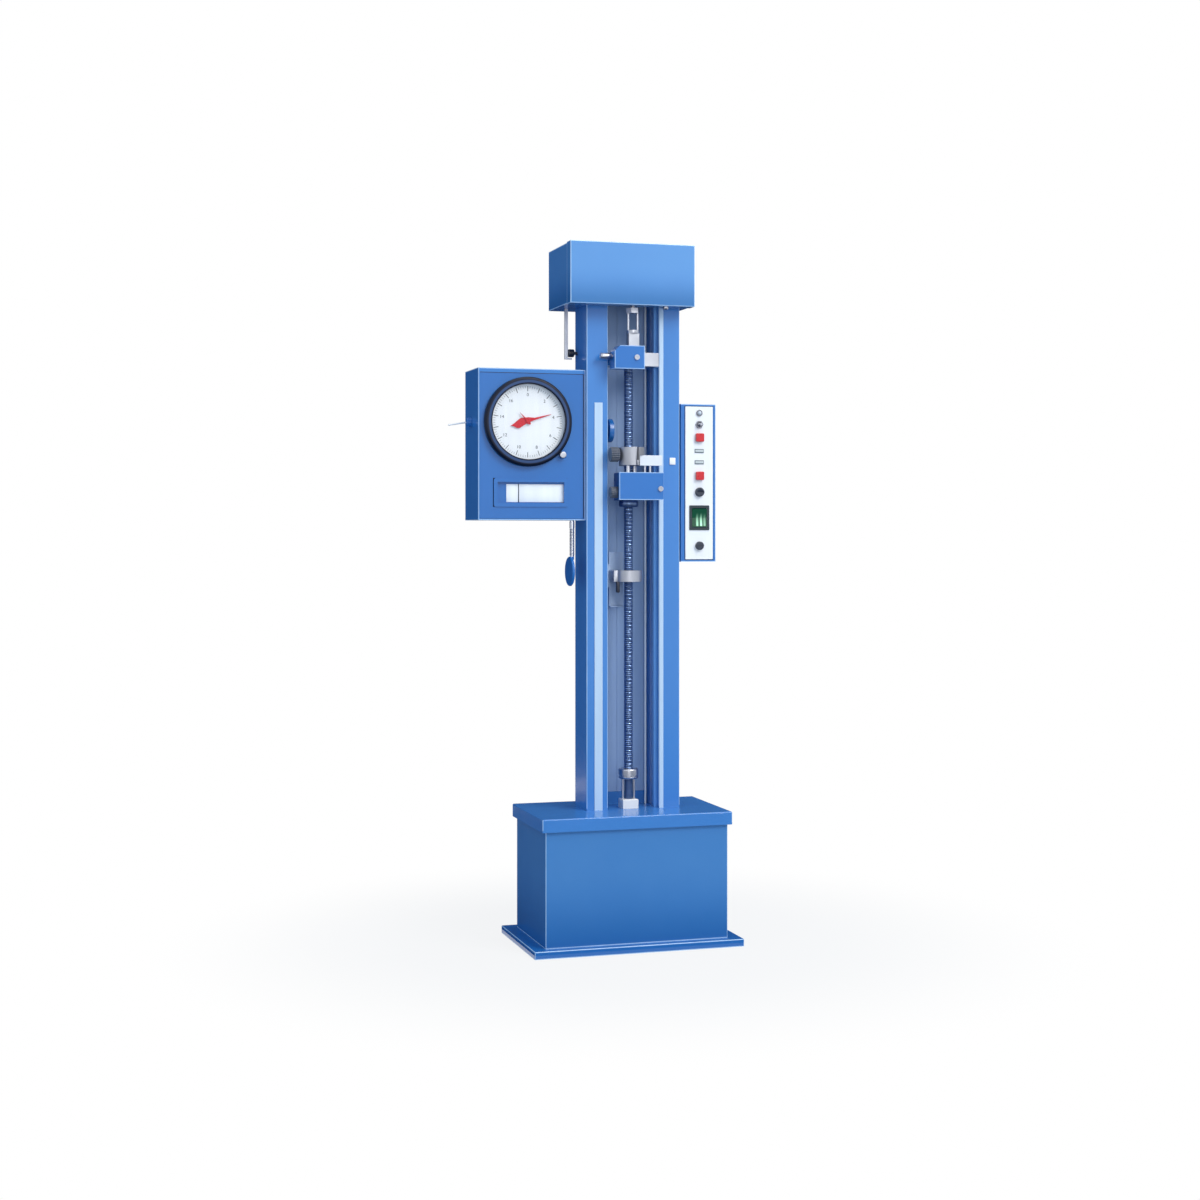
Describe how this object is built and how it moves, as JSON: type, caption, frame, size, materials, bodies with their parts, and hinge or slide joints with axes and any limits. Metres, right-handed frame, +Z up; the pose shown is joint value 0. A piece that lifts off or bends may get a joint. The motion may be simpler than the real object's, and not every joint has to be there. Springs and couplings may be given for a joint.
{
  "type": "textile tensile tester",
  "caption": "Floor-standing tensile tester for cloth strips: cabinet base, slotted column with lead screw and crosshead, two screw grips, pendulum load dial and control panel",
  "frame": {"origin": "centre of the foot plate's underside", "axes": "+Z up, -Y the side with the dial, grips and control panel, +X to the right seen from the front"},
  "size_m": [0.7224, 0.346, 1.8],
  "materials": {
    "blue_paint": "glossy blue enamel on steel",
    "grey_paint": "satin grey-blue paint",
    "white_enamel": "glossy white enamel",
    "strip_metal": "ground bright steel",
    "bright_steel": "bright nickel and chrome plate",
    "screw_steel": "turned and oiled steel",
    "motor_iron": "dark motor enamel",
    "belt_rubber": "plain black belt",
    "black_plastic": "moulded black plastic",
    "red_plastic": "moulded red plastic",
    "red_paint": "red lacquer",
    "green_lens": "translucent green lens",
    "clear_glass": "clear flat glass"
  },
  "bodies": {
    "base": {"foot_plate": "blue_paint", "cabinet_shell": "blue_paint", "cabinet_lid": "blue_paint", "support_frame": "grey_paint", "drive_motor": "motor_iron", "drive_belt": "belt_rubber", "bearing_block": "white_enamel", "bearing_ring": "bright_steel", "top_bridge": "blue_paint", "left_upright": "blue_paint", "right_upright": "blue_paint", "back_panel": "grey_paint", "front_strips": "strip_metal", "column_rails": "strip_metal", "head_shell": "blue_paint", "head_front_cover": "blue_paint", "top_beam": "grey_paint", "gauge_housing": "blue_paint", "gauge_front_panel": "blue_paint", "dial_bezel": "black_plastic", "dial_glass": "clear_glass", "dial_face": "white_enamel", "dial_movement": "screw_steel", "lock_bar": "bright_steel", "panel_housing": "blue_paint", "panel_face": "white_enamel", "panel_bezels": "black_plastic"},
    "lead_screw": {"lead_screw": "screw_steel", "screw_pulley": "screw_steel"},
    "motor_pulley": {"motor_pulley": "screw_steel"},
    "crosshead": {"crosshead_block": "blue_paint", "crosshead_nut": "screw_steel", "grip_posts": "blue_paint", "lower_grip_body": "bright_steel", "index_bar": "white_enamel"},
    "nut_lock": {"nut_lock_knob": "black_plastic"},
    "lower_jaw": {"lower_jaw": "bright_steel"},
    "lower_clamp": {"lower_clamp_knob": "black_plastic"},
    "travel_stop": {"stop_carrier": "grey_paint", "stop_collar": "screw_steel"},
    "load_train": {"load_hanger": "bright_steel", "upper_grip_body": "blue_paint", "upper_fixed_jaw": "bright_steel"},
    "upper_jaw": {"upper_jaw": "bright_steel"},
    "upper_clamp": {"upper_clamp_screw": "bright_steel"},
    "weighing_beam": {"weighing_beam": "bright_steel"},
    "load_tape": {"load_tape": "bright_steel"},
    "pendulum": {"pendulum_shaft": "blue_paint", "pendulum": "blue_paint"},
    "load_hand": {"load_pointer": "red_paint"},
    "peak_hand": {"peak_pointer": "red_paint"},
    "reset_knob": {"reset_knob": "bright_steel"},
    "zero_knob": {"zero_knob": "blue_paint"},
    "beam_lock": {"beam_lock_knob": "black_plastic"},
    "toggle": {"toggle_lever": "bright_steel"},
    "start_button": {"start_button": "red_plastic"},
    "stop_button": {"stop_button": "red_plastic"},
    "speed_knob": {"speed_knob": "black_plastic"},
    "fuse_cap": {"fuse_cap": "black_plastic"},
    "rocker": {"power_rocker": "green_lens"}
  },
  "joints": [
    {"name": "lead_screw_turn", "type": "hinge", "parent": "base", "child": "lead_screw", "pos_m": [0.018, -0.008, 0.7], "axis": [0, 0, 1], "range_deg": [-13700, 11540]},
    {"name": "motor_turn", "type": "hinge", "parent": "base", "child": "motor_pulley", "pos_m": [-0.179, -0.008, 0.25], "axis": [0, 0, 1], "range_deg": [-41100, 34620]},
    {"name": "crosshead_travel", "type": "slide", "parent": "base", "child": "crosshead", "axis": [0, 0, 1], "range_m": [-0.16, 0.19]},
    {"name": "nut_lock_turn", "type": "hinge", "parent": "crosshead", "child": "nut_lock", "pos_m": [-0.02, -0.055, 1.1615], "axis": [1, 0, 0], "range_deg": [-30, 60]},
    {"name": "lower_jaw_slide", "type": "slide", "parent": "crosshead", "child": "lower_jaw", "axis": [1, 0, 0], "range_m": [-0.008, 0.003]},
    {"name": "lower_clamp_turn", "type": "hinge", "parent": "lower_jaw", "child": "lower_clamp", "pos_m": [-0.03, -0.055, 1.259], "axis": [1, 0, 0], "range_deg": [-1442, 542]},
    {"name": "stop_slide", "type": "slide", "parent": "base", "child": "travel_stop", "axis": [0, 0, 1], "range_m": [-0.41, 0.003]},
    {"name": "pendulum_swing", "type": "hinge", "parent": "base", "child": "pendulum", "pos_m": [-0.131, 0.004, 1.323], "axis": [1, 0, 0], "range_deg": [-3.5, 14.25]},
    {"name": "load_train_slide", "type": "slide", "parent": "base", "child": "load_train", "axis": [0, 0, 1], "range_m": [-0.00785, 0.002]},
    {"name": "load_tape_slide", "type": "slide", "parent": "base", "child": "load_tape", "axis": [0, 0, 1], "range_m": [-0.002, 0.00785]},
    {"name": "beam_tilt", "type": "hinge", "parent": "base", "child": "weighing_beam", "pos_m": [-0.0065, -0.0054, 1.722], "axis": [0.8562, 0.5167, 0], "range_deg": [-2.45, 9.6]},
    {"name": "load_hand_turn", "type": "hinge", "parent": "base", "child": "load_hand", "pos_m": [-0.256, -0.024, 1.341], "axis": [0, 1, 0], "range_deg": [-70.3, 289.7]},
    {"name": "upper_jaw_slide", "type": "slide", "parent": "load_train", "child": "upper_jaw", "axis": [1, 0, 0], "range_m": [-0.008, 0.003]},
    {"name": "upper_clamp_turn", "type": "hinge", "parent": "upper_jaw", "child": "upper_clamp", "pos_m": [-0.05, -0.054, 1.511], "axis": [1, 0, 0], "range_deg": [-1442, 542]},
    {"name": "reset_knob_turn", "type": "hinge", "parent": "base", "child": "reset_knob", "pos_m": [-0.16487, -0.027, 1.25691], "axis": [0, 1, 0], "range_deg": [-180, 180]},
    {"name": "peak_hand_turn", "type": "hinge", "parent": "base", "child": "peak_hand", "pos_m": [-0.256, -0.027, 1.341], "axis": [0, 1, 0], "range_deg": [-181, 181]},
    {"name": "zero_knob_turn", "type": "hinge", "parent": "base", "child": "zero_knob", "pos_m": [-0.39, 0.062, 1.342], "axis": [1, 0, 0], "range_deg": [-20, 20]},
    {"name": "beam_lock_turn", "type": "hinge", "parent": "base", "child": "beam_lock", "pos_m": [-0.119, 0.055, 1.5265], "axis": [1, 0, 0], "range_deg": [0, 90]},
    {"name": "toggle_flip", "type": "hinge", "parent": "base", "child": "toggle", "pos_m": [0.2035, -0.0345, 1.3405], "axis": [1, 0, 0], "range_deg": [-12, 12]},
    {"name": "start_press", "type": "slide", "parent": "base", "child": "start_button", "axis": [0, 1, 0], "range_m": [0, 0.003], "stiffness_N_per_m": 300},
    {"name": "stop_press", "type": "slide", "parent": "base", "child": "stop_button", "axis": [0, 1, 0], "range_m": [0, 0.003], "stiffness_N_per_m": 300},
    {"name": "speed_turn", "type": "hinge", "parent": "base", "child": "speed_knob", "pos_m": [0.2035, -0.04, 1.164], "axis": [0, 1, 0], "range_deg": [0, 270]},
    {"name": "fuse_cap_turn", "type": "hinge", "parent": "base", "child": "fuse_cap", "pos_m": [0.2035, -0.04, 1.024], "axis": [0, 1, 0], "range_deg": [-60, 0]},
    {"name": "rocker_flip", "type": "hinge", "parent": "base", "child": "rocker", "pos_m": [0.2035, -0.0315, 1.097], "axis": [1, 0, 0], "range_deg": [-8, 0]}
  ],
  "couplings": [
    {"joint": "lead_screw_turn", "follows": "crosshead_travel", "rad_per_m": -1256.6},
    {"joint": "motor_turn", "follows": "crosshead_travel", "rad_per_m": -3769.9},
    {"joint": "lower_clamp_turn", "follows": "lower_jaw_slide", "rad_per_m": 3141.6},
    {"joint": "upper_clamp_turn", "follows": "upper_jaw_slide", "rad_per_m": 3141.6},
    {"joint": "load_train_slide", "follows": "pendulum_swing", "m_per_rad": -0.0312},
    {"joint": "load_tape_slide", "follows": "pendulum_swing", "m_per_rad": 0.0312},
    {"joint": "beam_tilt", "follows": "pendulum_swing", "ratio": 0.65796},
    {"joint": "load_hand_turn", "follows": "pendulum_swing", "ratio": 20},
    {"joint": "peak_hand_turn", "follows": "reset_knob_turn", "ratio": -1}
  ]
}
